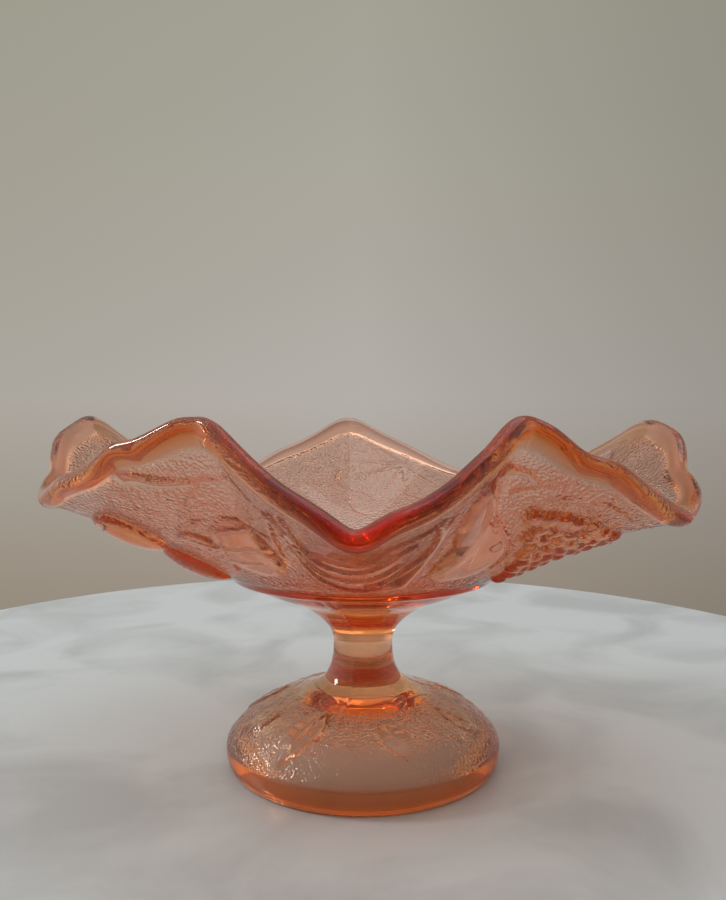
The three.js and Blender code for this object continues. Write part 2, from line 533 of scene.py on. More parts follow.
@dataclass(frozen=True)
class Pebbles:
    """The fine uneven grain of the mould's ground."""

    pitch: float = 1.7
    tall: float = 0.09
    tile: int = 160
    seed: int = 11

    def height(self, azimuth: Array, rho: Array) -> Array:
        """Gives the grain's height.

        Args:
            azimuth: Degrees from +X.
            rho: Distance from the axis in the flat blank.

        Returns:
            Height in millimetres, above and below zero.
        """
        grid = np.random.default_rng(self.seed).random((self.tile, self.tile)) * 2 - 1
        x = rho * np.cos(azimuth * DEG) / self.pitch
        y = rho * np.sin(azimuth * DEG) / self.pitch
        i, j = np.floor(x).astype(int), np.floor(y).astype(int)
        fx, fy = smoothstep(x - i), smoothstep(y - j)
        total = np.zeros_like(x)
        for di, wx in ((0, 1 - fx), (1, fx)):
            for dj, wy in ((0, 1 - fy), (1, fy)):
                total += grid[(i + di) % self.tile, (j + dj) % self.tile] * wx * wy
        return total * self.tall


def vein_fan(root: Point, tips: tuple[Point, ...], wide: float, tall: float) -> list[Relief]:
    """Spreads thin veins from a root.

    Args:
        root: Where the veins start.
        tips: Where each vein ends.
        wide: The veins' width at the root.
        tall: The veins' height at the root.

    Returns:
        One line for each tip.
    """
    return [Line((root, tip), wide, tall) for tip in tips]


def front_fruit() -> list[Relief]:
    """Gives the peach and the pear under the dip that faces the front."""
    swags = (
        ((-104.5, 99), (-104, 89), (-100, 84.5), (-94, 86), (-90, 88.5), (-84.5, 94), (-78.5, 99)),
        ((-102, 100.5), (-101.5, 87.5), (-98.5, 80), (-93, 79), (-86.5, 82), (-81, 90)),
        ((-103, 92.5), (-102, 79.5), (-98.5, 71.5), (-93, 70), (-87, 71.5), (-82.5, 77)),
        ((-104, 90), (-103.5, 78), (-102, 67.5), (-97, 59), (-91, 56.5), (-85, 58)),
    )
    return [
        Fruit(-92, 78, 15, 20, 1.6, fullness=1.0),
        *[Line(swag, 1.9, 1.0, False) for swag in swags],
        Line(((-78, 100), (-76.5, 86), (-79.5, 74), (-84, 65), (-89, 61)), 2.6, 1.1, False),
        Line(((-79.5, 61), (-76.5, 80), (-75.5, 98)), 9, 1.6),
        Fruit(-62, 72, 13, 14.5, 2.2, fullness=0.7),
        Fruit(-67, 89, 8, 15, 1.9, -18, fullness=0.7),
        Line(((-71, 104), (-62.5, 91), (-55.5, 82.5), (-51, 75), (-50, 65)), 1.5, 0.6, False),
        Line(((-67, 103.5), (-62, 101.7), (-58.5, 102), (-55.5, 100.5)), 3.0, 1.5),
        Line(((-59.5, 96), (-57, 98), (-54.5, 101), (-51.5, 105)), 2.0, 0.9),
        Line(((-57.5, 101), (-56, 99.2)), 1.2, 0.6),
        Line(((-58, 95), (-56, 97.5)), 1.2, 0.6),
    ]


def right_bunch() -> list[Relief]:
    """Gives the grapes, their tendrils and the leaf behind them."""
    rows = (
        (92.5, -54, -33), (88, -52, -31), (83.5, -50.5, -30), (79, -48.5, -30.5),
        (74.5, -46.5, -31.5), (70, -44.5, -32), (65.5, -42.5, -32.5), (61, -40.5, -33.5),
        (57, -38, -35.5),
    )  # fmt: skip
    return [
        Bunch(rows),
        Line(((-52, 100), (-48.5, 100.5), (-45.5, 100)), 1.3, 0.6),
        Line(((-52, 98), (-48.5, 98.3), (-46, 99)), 1.3, 0.6),
        Line(((-46, 99), (-44.5, 104), (-44, 109)), 1.3, 0.6),
        Line(((-45.5, 98.5), (-42, 97), (-37.5, 96.5), (-34, 99.5)), 1.6, 0.8),
        Line(((-44.5, 102.5), (-41.5, 102.8), (-37, 101), (-32.5, 102.5)), 1.6, 0.8),
        Line(((-44.5, 95.5), (-41, 96.5), (-38.5, 98.5)), 1.4, 0.7),
        Leaf((-26, 92), (-16, 84), 7, 0.9),
    ]


def left_fruit() -> list[Relief]:
    """Gives the plums, the fig and the leaves to the left of the front."""
    return [
        Fruit(-152, 86, 12, 11.5, 4.0, fullness=0.5),
        Fruit(-151, 64.5, 10, 11.5, 4.0, fullness=0.5),
        Line(((-134, 105.5), (-127, 101.5), (-121.5, 99)), 6, 1.1),
        Line(((-121.5, 99), (-124.5, 96), (-128, 92.5), (-133.5, 86)), 1.6, 0.8),
        Line(((-120.5, 99.5), (-115, 100), (-108.5, 107)), 1.4, 0.7),
        Line(((-134, 85), (-128.5, 87.5), (-124.5, 88.5)), 1.6, 0.8),
        Leaf((-136, 83), (-123, 74), 4.5, 1.0, 9),
        Fruit(-119, 75, 12.5, 14, 2.0, fullness=0.75),
        Line(((-126, 84), (-119.5, 84.5), (-113, 85.3), (-108.5, 84)), 1.2, 0.6, False),
        Line(((-128, 78), (-122, 77), (-116, 77.5), (-112, 75)), 1.2, 0.55, False),
        Line(((-129, 72), (-123, 70.5), (-116, 71)), 1.2, 0.5, False),
        Line(((-130.5, 63), (-127.5, 70), (-125, 78), (-124, 84)), 1.2, 0.5, False),
        Line(((-105.5, 97), (-107.5, 86), (-108.5, 73)), 3.6, 1.2),
        Line(((-112, 104), (-108, 99), (-105.5, 93)), 1.6, 0.6),
    ]


def back_leaf() -> list[Relief]:
    """Gives the big vine leaf on the far wall."""
    root = (78.0, 101.5)
    tips = (
        (89.5, 96.5), (93, 86.5), (84.5, 80), (77, 88), (74.5, 80.5), (72, 105), (76.5, 109),
        (84, 105), (91, 108), (98, 108.5), (68, 95),
    )  # fmt: skip
    curls = [
        Line(((97, 91.5), (98.5, 88.5), (97.5, 84.5), (94, 81.5), (91, 80)), 2.0, 0.9),
        Line(((94.5, 76), (94, 72), (91.5, 69), (88, 68), (84, 69)), 2.0, 0.9),
    ]
    return [VineLeaf(80, 99, 25, 0.3, -70), *vein_fan(root, tips, 1.6, 0.9), *curls]


def far_fruit() -> list[Relief]:
    """Gives the fruit that repeats round the rest of the wall."""
    rows = (
        (91, 144, 163), (86.5, 145, 164), (82, 146, 163), (77.5, 148, 163), (73, 149, 162),
        (68.5, 151, 161), (64, 152.5, 160), (59.5, 155, 159),
    )  # fmt: skip
    return [
        Fruit(8, 78, 15, 15, 2.6, fullness=0.7),
        Line(((8, 93), (5.5, 84), (6.5, 74), (10, 66)), 1.8, -0.5, False),
        Leaf((9, 95), (22, 103), 6, 0.9),
        Fruit(39, 73, 12.5, 14, 3.0, fullness=0.65),
        Fruit(41, 90, 8, 13, 2.4, 8, fullness=0.65),
        Leaf((30, 99), (20, 92), 5.5, 0.9),
        Fruit(122, 75, 13, 14, 2.8, fullness=0.65),
        Fruit(120, 91, 8, 13, 2.3, -8, fullness=0.65),
        Bunch(rows, seed=8),
        Leaf((146, 97), (134, 101), 6.5, 0.9),
        Fruit(180, 76, 15, 15, 2.6, fullness=0.7),
        Line(((180, 91), (177.5, 82), (178.5, 72), (182, 64)), 1.8, -0.5, False),
        Leaf((180, 94), (192, 103), 6, 0.9),
    ]


def foot_leaves() -> list[Relief]:
    """Gives the leaves and strokes on the foot's dome."""
    return [
        Leaf((-150, 33), (-163, 48), 5, 0.7, 5),
        Leaf((-117, 27), (-127, 50), 7, 0.9, 7),
        Line(((-122, 33), (-118, 39), (-121, 45)), 1.2, 0.5),
        Line(((-117, 36), (-113, 40)), 1.2, 0.45),
        Line(((-114, 42), (-109, 45)), 1.2, 0.45),
        Leaf((-78, 30), (-70, 46), 6, 0.45, 5),
        Line(((-66, 34), (-60, 40), (-62, 46)), 1.2, 0.4),
        Leaf((-30, 30), (-22, 47), 6, 0.55, 5),
        Leaf((20, 31), (28, 47), 6, 0.55, 5),
        Leaf((66, 30), (74, 46), 6, 0.55, 5),
        Line(((84, 33), (90, 39), (87, 45)), 1.2, 0.5),
        Leaf((115, 31), (124, 47), 6, 0.55, 5),
        Leaf((160, 31), (168, 47), 6, 0.55, 5),
    ]


@dataclass
class ReliefBand:
    """All the relief on one stretch of the glass, with its pebbled ground."""

    motifs: list[Relief]
    pebbles: Pebbles

    def sample(self, azimuth: Array, rho: Array) -> tuple[Array, Array]:
        """Adds the motifs up.

        Args:
            azimuth: Degrees from +X.
            rho: Distance from the axis in the flat blank.

        Returns:
            Height in millimetres, and how much of the ground's grain shows, from 0 to 1.
        """
        body = np.zeros_like(rho)
        line = np.zeros_like(rho)
        for motif in self.motifs:
            if motif.layer is Layer.BODY:
                body = np.maximum(body, motif.height(azimuth, rho))
            else:
                found = motif.height(azimuth, rho)
                line = np.where(np.abs(found) > np.abs(line), found, line)
        ground = 1 - smoothstep((body + np.abs(line)) / 0.5)
        return body + line + self.pebbles.height(azimuth, rho) * ground, ground


def steepness(height: Array, along: Array, r: Array) -> Array:
    """Gives how steep a relief is.

    Args:
        height: The relief's height, with one row for each ring.
        along: How far along the outline each ring is.
        r: The distance of each point from the axis.

    Returns:
        Rise over run, 0 where the glass is even.
    """
    up = np.gradient(height, along, axis=0)
    step = 2 * math.pi * r / height.shape[1]
    aside = (np.roll(height, -1, axis=1) - np.roll(height, 1, axis=1)) / (2 * step)
    return np.hypot(up, aside)


# ---------------------------------------------------------------- stem and foot
@dataclass(frozen=True)
class MouldSeams:
    """The fine upright lines where the mould's parts met."""

    at: tuple[float, ...] = (-106.0, 14.0, 134.0)
    wide: float = 0.7
    tall: float = 0.28

    def height(self, azimuth: Array, r: Array) -> Array:
        """Gives the seams' height at an azimuth and a distance from the axis."""
        best = np.zeros_like(azimuth)
        for at in self.at:
            aside = np.abs(turn_between(azimuth, at)) * DEG * r
            best = np.maximum(best, np.exp(-((aside / self.wide) ** 2)))
        return best * self.tall


@dataclass(frozen=True)
class Support:
    """The turned underside, stem and foot, from the bowl's ridge to the table."""

    funnel: tuple[Point, ...] = (
        (46.6, 69.1), (44.8, 68.2), (36.8, 64.4), (24.9, 59.7), (17.0, 54.4),
    )  # fmt: skip
    stem: tuple[Point, ...] = (
        (17.0, 54.4), (13.2, 50.4), (11.5, 46.6), (11.2, 43.4), (11.5, 38.8), (12.6, 34.4),
        (15.0, 30.3), (18.2, 27.8),
    )  # fmt: skip
    dome: tuple[Point, ...] = (
        (18.2, 27.8), (20.8, 26.6), (23.0, 25.6), (25.5, 24.8), (30.0, 23.3), (38.0, 19.9),
        (45.0, 15.4), (49.2, 11.4), (50.9, 9.3), (51.5, 7.6), (51.6, 5.4), (51.2, 2.6), (50.4, 0.7),
        (49.4, 0.0),
    )  # fmt: skip
    base_ring: tuple[Point, ...] = ((49.4, 0.0), (46.5, 0.06), (43.6, 0.0))
    hollow: tuple[Point, ...] = (
        (43.6, 0.0), (43.4, 0.8), (43.2, 4.0), (42.3, 8.0), (39.8, 11.8), (35.5, 14.9),
        (29.0, 17.4), (22.0, 19.1), (12.0, 20.0), (0.0, 20.2),
    )  # fmt: skip
    collar_r: float = 24.5  # the foot's relief starts outside this
    shaded_edge_z: float = 9.6  # the foot's thick edge lies under this, and gets painted shade

    def outline(self, points: tuple[Point, ...], count: int) -> Array:
        """Gives even points of (radius, height) along one stretch."""
        return even_points(smooth_curve(np.array(points), 12), count)


@dataclass
class Ring:
    """One closed loop of the surface.

    Attributes:
        points: The loop's points in millimetres, from azimuth -180 degrees on.
        pebbled: How much of the mould's grain shows at each point.
        scuffed: How worn the glass is.
        deep: Painted shade: how much of a darker orange is painted at each point, standing in for
            the dark look of light's long paths through the glass.
    """

    points: Array
    pebbled: Array | float = 0.0
    scuffed: float = 0.0
    deep: Array | float = 0.0


@dataclass
class PressedDish:
    """The whole pressing: bowl, stem and foot in one closed surface of glass."""

    wall: CrimpedWall = field(default_factory=CrimpedWall)
    support: Support = field(default_factory=Support)
    seams: MouldSeams = field(default_factory=MouldSeams)
    fine: int = 600  # points round the wall's outside
    medium: int = 300  # points round the inside and the foot
    coarse: int = 150  # points round the stem
    relief_rows: int = 84
    relief_top: float = 1.6  # how far under the rim the relief starts
    relief_foot: float = 50.5  # where it ends, just above the ridge
    relief_fade: Point = (2.2, 3.0)  # over how far it fades in at the top and out at the foot
    ridge: tuple[Point, ...] = ((49.3, -2.35), (48.2, -2.85), (47.3, -3.05))
    # painted shade in the crease under the bowl's ridge
    ridge_painted_shade: float = 0.7
    flank_shade_per_slope: float = 0.8  # how much painted shade the relief gets on a slope of 1
    tall_relief_shade_from: float = 2.4  # relief higher than this gets painted shade
    tall_relief_shade_fade: float = 0.9
    # Painted shade on the rim: a darker orange, heaviest on the side that faces the front
    front_shade_half: float = 72  # the rim's painted shade is full for so many degrees each side of the front
    front_shade_fade: float = 30
    back_shade_drop: float = 0.75  # how much less of it there is at the back

    def azimuths(self, count: int) -> Array:
        """Gives even azimuths round the axis."""
        return np.arange(count) * 360.0 / count - 180.0

    def front_rim_shade(self, azimuth: Array) -> Array:
        """Gives how much painted shade the rim gets: full at the front, less at the back."""
        past = np.abs(turn_between(azimuth, -90)) - self.front_shade_half
        return 1 - self.back_shade_drop * smoothstep(past / self.front_shade_fade)

    def inside(self) -> list[Ring]:
        """Makes the bowl's smooth inside, from the middle of its floor to the rim."""
        near = [3, 7, 12, 18, 24, 30, 35, 39, 42.5, 45, 47, 49, 52]
        rim = self.wall.rim_r
        rows = [(rho, self.medium, 0.0) for rho in (*near, *np.linspace(56, rim - 7, 12))]
        rings = []
        # The ring next to the bead gets half of the rim's painted shade, most at the front
        for rho, count, deep in (*rows, (rim - 4.0, self.fine, 0.0), (rim - 1.8, self.fine, 0.5)):
            azimuth = self.azimuths(count)
            offset = self.wall.half_thickness(np.full_like(azimuth, rho))
            rings.append(self.wall_ring(rho, offset, azimuth, 0.0, deep * self.front_rim_shade(azimuth)))
        return rings

    def wall_ring(
        self,
        rho: float,
        offset: Array | float,
        azimuth: Array,
        pebbled: Array | float,
        deep: Array | float = 0.0,
    ) -> Ring:
        """Places one ring of the wall.

        Args:
            rho: Distance from the axis in the flat blank.
            offset: Distance from the middle surface, positive on the inside.
            azimuth: Degrees from +X.
            pebbled: How much of the mould's grain shows.
            deep: How much painted shade it gets.

        Returns:
            The ring.
        """
        return Ring(self.wall.place(rho, offset, azimuth), pebbled, deep=deep)

    def bead(self) -> list[Ring]:
        """Makes the rounded bead of the rim, with painted shade on it, most at the front."""
        azimuth = self.azimuths(self.fine)
        rings = []
        for angle in np.linspace(90, -90, 10):
            rho = self.wall.rim_r + self.wall.bead_r * math.cos(angle * DEG)
            offset = self.wall.bead_r * math.sin(angle * DEG)
            # Painted shade all over the bead, full at the front and less at the back
            rings.append(self.wall_ring(rho, offset, azimuth, 0.0, self.front_rim_shade(azimuth)))
        return rings

    def outside(self) -> list[Ring]:
        """Makes the wall's outside with its fruit, leaves and pebbled ground."""
        motifs = [*front_fruit(), *right_bunch(), *left_fruit(), *back_leaf(), *far_fruit()]
        band = ReliefBand(motifs, Pebbles())
        azimuth = self.azimuths(self.fine)
        top = self.wall.rim_r - self.relief_top
        rows = np.linspace(top, self.relief_foot, self.relief_rows)
        at, rho = np.meshgrid(azimuth, rows)
        height, ground = band.sample(at, rho)
        fade_in, fade_out = self.relief_fade
        shown = smoothstep((top - rho) / fade_in) * smoothstep((rho - self.relief_foot) / fade_out)
        height = height * shown
        # Painted shade: a darker orange next to the rim (most at the front), on tall relief and on
        # the relief's slopes
        next_to_rim_shade = smoothstep((rho - self.wall.rim_r + 2.6) / 1.6) * self.front_rim_shade(at)
        tall_relief_shade = smoothstep((height - self.tall_relief_shade_from) / self.tall_relief_shade_fade)
        flank_shade = np.clip(self.flank_shade_per_slope * steepness(height, rows, rho), 0, 1)
        painted_shade_share = np.maximum(next_to_rim_shade, np.maximum(tall_relief_shade, flank_shade))
        rings = []
        for row, lift, pebbled, deep in zip(rows, height, ground * shown, painted_shade_share):
            offset = -self.wall.half_thickness(np.full_like(azimuth, row)) - lift
            rings.append(self.wall_ring(row, offset, azimuth, pebbled, deep))
        azimuth = self.azimuths(self.medium)
        # The crease under the ridge gets painted shade
        for row, offset in self.ridge:
            rings.append(self.wall_ring(row, offset, azimuth, 0.0, self.ridge_painted_shade))
        return rings

    def turned(
        self, outline: Array, count: int, lift: Array | float = 0.0, pebbled: Array | float = 0.0
    ) -> list[Ring]:
        """Turns an outline about the axis.

        Args:
            outline: Points of (radius, height).
            count: Points round the axis.
            lift: How far each point is pushed out along its normal, one row for each ring.
            pebbled: How much of the grain shows, one row for each ring.

        Returns:
            One ring for each point of the outline.
        """
        azimuth = self.azimuths(count)
        along = np.gradient(outline, axis=0)
        normal = np.stack([-along[:, 1], along[:, 0]], axis=1)
        normal /= np.linalg.norm(normal, axis=1, keepdims=True)
        shape = len(outline), count
        push, shown = np.broadcast_to(lift, shape), np.broadcast_to(pebbled, shape)
        rings = []
        for k, (r, z) in enumerate(outline):
            radius = r + normal[k, 0] * push[k]
            height = z + normal[k, 1] * push[k]
            points = np.stack(
                [radius * np.cos(azimuth * DEG), radius * np.sin(azimuth * DEG), height], axis=1
            )
            rings.append(Ring(points, shown[k]))
        return rings

    def beneath(self) -> list[Ring]:
        """Makes the funnel under the bowl, the stem, the foot's dome, its ring and its hollow, with
        painted shade on the foot's edge, its ring and its hollow.
        """
        rings: list[Ring] = []
        for points, count, rows in (
            (self.support.funnel, self.medium, 12),
            (self.support.stem, self.coarse, 27),
        ):
            outline = self.support.outline(points, rows)[:-1]
            at, r = np.meshgrid(self.azimuths(count), outline[:, 0])
            rings += self.turned(outline, count, self.seams.height(at, r))
        outline = self.support.outline(self.support.dome, 44)[:-1]
        at, r = np.meshgrid(self.azimuths(self.medium), outline[:, 0])
        z = outline[:, 1][:, None]
        band = ReliefBand(foot_leaves(), Pebbles(1.6, 0.12, seed=5))
        height, ground = band.sample(at, r)
        shown = smoothstep((r - self.support.collar_r) / 2) * smoothstep((z - 8) / 2)
        lift = height * shown + self.seams.height(at, r) * smoothstep(z / 2)
        along = np.append(0, np.cumsum(np.linalg.norm(np.diff(outline, axis=0), axis=1)))
        # Painted shade: a darker orange on the foot's thick edge and on the slopes of its relief
        flank_shade = np.clip(self.flank_shade_per_slope * steepness(height * shown, along, r), 0, 1)
        painted_shade_share = np.maximum(smoothstep((self.support.shaded_edge_z - z) / 1.6), flank_shade)
        dome = self.turned(outline, self.medium, lift, 0.8 * ground * shown)
        for ring, deep in zip(dome, painted_shade_share):
            ring.deep = deep
        flat = self.support.outline(self.support.base_ring, 4)[:-1]
        ground_ring = self.turned(flat, self.medium)
        # The base ring is scuffed, and gets full painted shade
        for ring in ground_ring:
            ring.scuffed = ring.deep = 1.0
        hollow_line = self.support.outline(self.support.hollow, 24)[:-1]
        hollow = self.turned(hollow_line, self.coarse)
        # Painted shade in the hollow, full at its bottom edge and gone 6 mm up
        for ring, rise in zip(hollow, hollow_line[:, 1]):
            ring.deep = float(np.clip(1 - rise / 6, 0, 1))
        return [*rings, *dome, *ground_ring, *hollow]

    def build(self, name: str) -> bpy.types.Object:
        """Makes the glass as one closed object.

        Args:
            name: The piece's name.

        Returns:
            The new object, without a material.
        """
        rings = [*self.inside(), *self.bead(), *self.outside(), *self.beneath()]
        start = np.array([[0, 0, self.wall.floor_z + self.wall.half_wall]])
        end = np.array([[0, 0, self.support.hollow[-1][1]]])
        points = np.vstack([start, *[ring.points for ring in rings], end]) * MM
        mesh = bpy.data.meshes.new(name)
        mesh.from_pydata(points.tolist(), [], ring_faces([len(r.points) for r in rings]))
        mesh.polygons.foreach_set("use_smooth", np.ones(len(mesh.polygons), bool))
        # The deep mask holds the painted shade
        for label in ("pebbled", "scuffed", "deep"):
            values = [np.broadcast_to(getattr(r, label), len(r.points)) for r in rings]
            layer = mesh.attributes.new(label, "FLOAT", "POINT")
            layer.data.foreach_set("value", np.concatenate([[0], *values, [0]]).astype(np.float32))
        mesh.update()
        return add_object(name, mesh)


# ---------------------------------------------------------------- finishes
class NodeBench:
    """Adds and joins the nodes of one material or world.

    Wherever a value goes into a node, it is a socket, a number or a colour.
    """

    def __init__(self, tree: bpy.types.NodeTree) -> None:
        """Clears the tree and keeps it."""
        self.tree = tree
        tree.nodes.clear()

    def add(self, kind: str, inputs: dict | None = None, **options: object) -> bpy.types.Node:
        """Adds a node.

        Args:
            kind: The node's type.
            inputs: What goes into each of its inputs.
            options: Attributes of the node.

        Returns:
            The new node.
        """
        node = self.tree.nodes.new(kind)
        for key, value in options.items():
            setattr(node, key, value)
        for key, value in (inputs or {}).items():
            if isinstance(value, bpy.types.NodeSocket):
                self.tree.links.new(value, node.inputs[key])
            else:
                number = isinstance(value, (int, float))
                node.inputs[key].default_value = value if number else (*value, 1)
        return node

    def noise(self, where: object, scale: float, detail: float, warp: float = 0.0) -> object:
        """Adds a noise.

        Args:
            where: The places that it is taken at.
            scale: How fine it is.
            detail: How many finer noises are added to it.
            warp: How far it is distorted.

        Returns:
            Its value's output.
        """
        inputs = {"Vector": where, "Scale": scale, "Detail": detail, "Distortion": warp}
        return self.add("ShaderNodeTexNoise", inputs).outputs["Fac"]

    def span(self, value: object, low: float, high: float) -> object:
        """Maps a span of a value to 0 to 1, and holds it there outside that span."""
        inputs = {"Value": value, "From Min": low, "From Max": high}
        return self.add("ShaderNodeMapRange", inputs).outputs["Result"]

    def ramp(self, source: object, stops: tuple[tuple[float, Colour], ...]) -> object:
        """Maps a value to colours.

        Args:
            source: The value.
            stops: Positions with their colours.

        Returns:
            The colour's output.
        """
        node = self.add("ShaderNodeValToRGB", {"Fac": source})
        elements = node.color_ramp.elements
        while len(elements) < len(stops):
            elements.new(0.5)
        for element, (position, colour) in zip(elements, stops):
            element.position = position
            element.color = (*colour, 1)
        return node.outputs["Color"]

    def mix(self, share: object, a: object, b: object, blend: str = "MIX") -> object:
        """Mixes two colours.

        Args:
            share: How much of the second colour comes in.
            a: The first colour.
            b: The second colour.
            blend: The name of the blend.

        Returns:
            The colour's output.
        """
        inputs = {0: share, 6: a, 7: b}
        return self.add("ShaderNodeMix", inputs, data_type="RGBA", blend_type=blend).outputs[2]

    def product(self, a: object, b: object) -> object:
        """Multiplies two values."""
        return self.add("ShaderNodeMath", {0: a, 1: b}, operation="MULTIPLY").outputs["Value"]

    def total(self, a: object, b: object) -> object:
        """Adds two values up."""
        return self.add("ShaderNodeMath", {0: a, 1: b}, operation="ADD").outputs["Value"]


def new_material(name: str) -> tuple[bpy.types.Material, NodeBench, object]:
    """Starts a material.

    Args:
        name: The material's name.

    Returns:
        The material, its bench, and the output of the places on the object.
    """
    made = bpy.data.materials.new(name)
    made.use_nodes = True
    bench = NodeBench(made.node_tree)
    return made, bench, bench.add("ShaderNodeTexCoord").outputs["Object"]


@dataclass(frozen=True)
class PinkGlass:
    """Pressed pink glass: clear, tinted more where it is thicker, grained where the mould was, fire
    polished; with painted shade and a foot painted paler as painted light.
    """

    name: str = "pink_glass"
    refraction: float = 1.5
    haze: float = 0.025
    # The foot, below this height in metres, is painted paler than the bowl: painted light
    foot_top: float = 0.03
    foot_fade: float = 0.006
    streak_scale: float = 35
    polish_scale: float = 400
    polish: float = 0.02
    grain_wear: float = 0.05
    scratch_scale: float = 1500
    scratch_wear: float = 0.5
    wave_scale: float = 70
    wave_strength: float = 0.18
    wave_depth: float = 0.0006
    grain_scale: float = 1000
    grain_strength: float = 0.8
    grain_depth: float = 0.0007
    taken_colour: Colour = (0.98, 0.56, 0.0)
    taken_per_metre: float = 45.0
    pale_tint: Colour = (1.0, 0.73, 0.68)
    warm_tint: Colour = (1.0, 0.69, 0.63)
    # painted light: the foot's paler colour
    foot_painted_light_tint: Colour = (1.0, 0.92, 0.95)
    # painted shade: the darker orange painted where the glass looks dark
    painted_shade_tint: Colour = (0.88, 0.28, 0.06)

    def material(self) -> bpy.types.Material:
        """Builds the glass.

        Returns:
            The material.
        """
        made, bench, where = new_material(self.name)
        finish = {
            "Transmission Weight": 1 - self.haze,
            "IOR": self.refraction,
            "Base Color": self.tint(bench, where),
            "Roughness": self.wear(bench, where),
            "Normal": self.skin(bench, where),
        }
        taken = {"Color": self.taken_colour, "Density": self.taken_per_metre}
        surface = bench.add("ShaderNodeBsdfPrincipled", finish).outputs["BSDF"]
        volume = bench.add("ShaderNodeVolumeAbsorption", taken).outputs["Volume"]
        bench.add("ShaderNodeOutputMaterial", {"Surface": surface, "Volume": volume})
        return made

    def mask(self, bench: NodeBench, label: str) -> object:
        """Reads one of the glass's own masks."""
        return bench.add("ShaderNodeAttribute", attribute_name=label).outputs["Fac"]

    def tint(self, bench: NodeBench, where: object) -> object:
        """Makes the faint unevenness of the tint, the foot painted paler (painted light), and the
        darker orange of the painted shade.
        """
        streaks = bench.noise(where, self.streak_scale, 2)
        bowl = bench.ramp(streaks, ((0.35, self.pale_tint), (0.65, self.warm_tint)))
        rise = bench.add("ShaderNodeSeparateXYZ", {0: where}).outputs["Z"]
        # Painted light: the foot is painted paler than the bowl
        above = bench.span(rise, self.foot_top - self.foot_fade, self.foot_top + self.foot_fade)
        body = bench.mix(above, self.foot_painted_light_tint, bowl)
        # Painted shade: a darker orange mixed in where the deep mask is set
        return bench.mix(self.mask(bench, "deep"), body, self.painted_shade_tint)

    def wear(self, bench: NodeBench, where: object) -> object:
        """Makes the roughness: near nothing when fire polished, more on the grain and the base."""
        polish = bench.product(bench.noise(where, self.polish_scale, 3), self.polish)
        grain = bench.product(self.mask(bench, "pebbled"), self.grain_wear)
        scratches = bench.product(bench.noise(where, self.scratch_scale, 4), self.scratch_wear)
        scuffs = bench.product(self.mask(bench, "scuffed"), scratches)
        return bench.total(bench.total(polish, grain), scuffs)

    def skin(self, bench: NodeBench, where: object) -> object:
        """Makes the bumps: the slow waves of hand-worked glass and the mould's fine grain."""
        waves = {
            "Strength": self.wave_strength,
            "Distance": self.wave_depth,
            "Height": bench.noise(where, self.wave_scale, 1),
        }
        cells = {"Vector": where, "Scale": self.grain_scale}
        cell = bench.add("ShaderNodeTexVoronoi", feature="SMOOTH_F1", inputs=cells)
        grains = {
            "Strength": self.grain_strength,
            "Distance": self.grain_depth,
            "Height": bench.product(cell.outputs["Distance"], self.mask(bench, "pebbled")),
            "Normal": bench.add("ShaderNodeBump", waves).outputs["Normal"],
        }
        return bench.add("ShaderNodeBump", grains, invert=True).outputs["Normal"]


@dataclass(frozen=True)
class PaleStone:
    """Honed pale stone for the table, with faint clouds."""

    name: str = "pale_stone"
    light: Colour = (0.63, 0.66, 0.67)
    cloud: Colour = (0.50, 0.52, 0.53)
    cloud_scale: float = 14
    roughness: float = 0.35

    def material(self) -> bpy.types.Material:
        """Builds the stone.

        Returns:
            The material.
        """
        made, bench, where = new_material(self.name)
        clouds = bench.noise(where, self.cloud_scale, 6, 0.8)
        colour = bench.ramp(clouds, ((0.36, self.cloud), (0.56, self.light)))
        finish = {"Base Color": colour, "Roughness": self.roughness}
        surface = bench.add("ShaderNodeBsdfPrincipled", finish).outputs["BSDF"]
        bench.add("ShaderNodeOutputMaterial", {"Surface": surface})
        return made


# ---------------------------------------------------------------- studio
# The wall's colour from below the horizon (0) to overhead (1).
WALL_BY_HEIGHT = (
    (0.0, (0.27, 0.24, 0.20)),
    (0.09, (0.35, 0.30, 0.25)),
    (0.249, (0.455, 0.425, 0.395)),
    (0.381, (0.42, 0.395, 0.35)),
    (0.588, (0.365, 0.362, 0.30)),
    (0.66, (0.35, 0.35, 0.31)),
    (0.78, (0.70, 0.71, 0.73)),
    (1.0, (0.88, 0.90, 0.93)),
)

# How bright the wall is from the left (0) to the right (1).
WALL_BY_SIDE = (
    (0.0, (2.4, 2.4, 2.4)),
    (0.16, (1.7, 1.7, 1.7)),
    (0.27, (0.9, 0.9, 0.86)),
    (0.5, (1.0, 1.0, 1.0)),
    (0.72, (0.72, 0.72, 0.70)),
    (0.8, (0.85, 0.85, 0.85)),
    (1.0, (1.6, 1.6, 1.6)),
)

# How bright the wall is from the front, behind the camera (0), to the far side (1).
WALL_BY_DEPTH = (
    (0.0, (0.45, 0.45, 0.45)),
    (0.15, (0.6, 0.6, 0.6)),
    (0.4, (1.0, 1.0, 1.0)),
)


@dataclass(frozen=True)
class SoftBox:
    """A soft rectangular lamp that points at the dish."""

    name: str
    place: tuple[float, float, float]
    size: tuple[float, float]
    watts: float
    colour: Colour = (1.0, 1.0, 1.0)

    def build(self, target: Vector) -> None:
        """Adds the lamp, pointed at the target."""
        lamp = bpy.data.lights.new(self.name, "AREA")
        lamp.shape = "RECTANGLE"
        lamp.size, lamp.size_y = self.size
        lamp.energy = self.watts
        lamp.color = self.colour
        holder = add_object(self.name, lamp)
        holder.location = self.place
        holder.rotation_euler = (target - Vector(self.place)).to_track_quat("-Z", "Y").to_euler()
        holder.visible_camera = False


